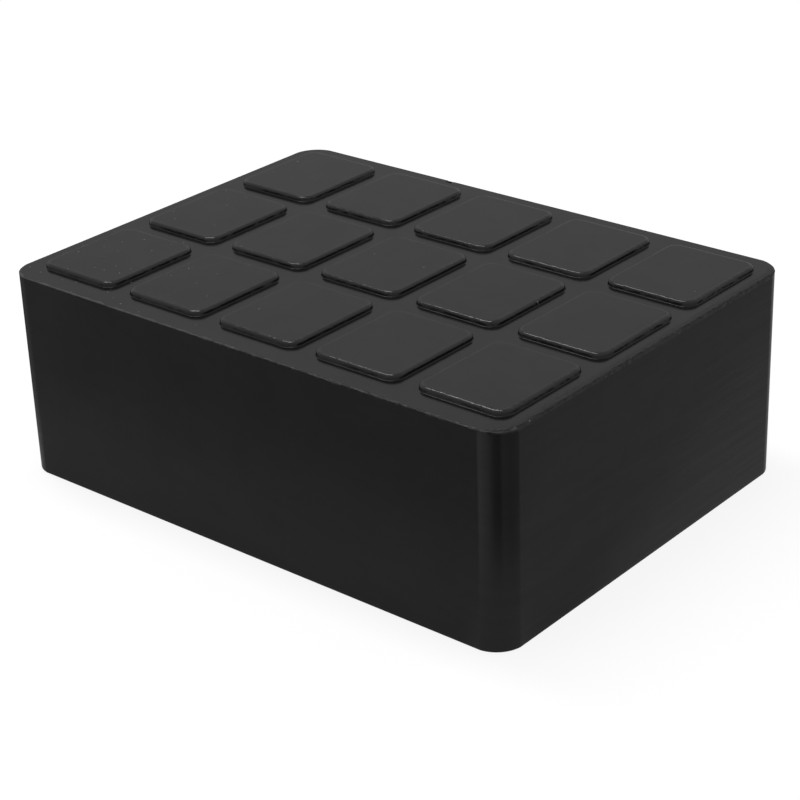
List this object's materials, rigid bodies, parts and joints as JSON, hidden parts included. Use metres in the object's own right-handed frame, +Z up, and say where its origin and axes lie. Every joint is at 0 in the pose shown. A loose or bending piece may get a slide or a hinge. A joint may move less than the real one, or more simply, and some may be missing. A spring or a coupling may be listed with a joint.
{
  "type": "lift arm rubber pad",
  "caption": "Moulded black rubber block with rounded corners and a grid of low raised tiles on top, laid between a lift arm and the sill it raises.",
  "frame": {"origin": "centre of the flat underside", "axes": "+X along the long side, +Y along the short side, +Z up through the raised tiles"},
  "size_m": [0.16, 0.1182, 0.0578],
  "materials": {
    "moulded_rubber": "moulded, satin black"
  },
  "bodies": {
    "root": {"rubber_block": "moulded_rubber"}
  },
  "joints": []
}
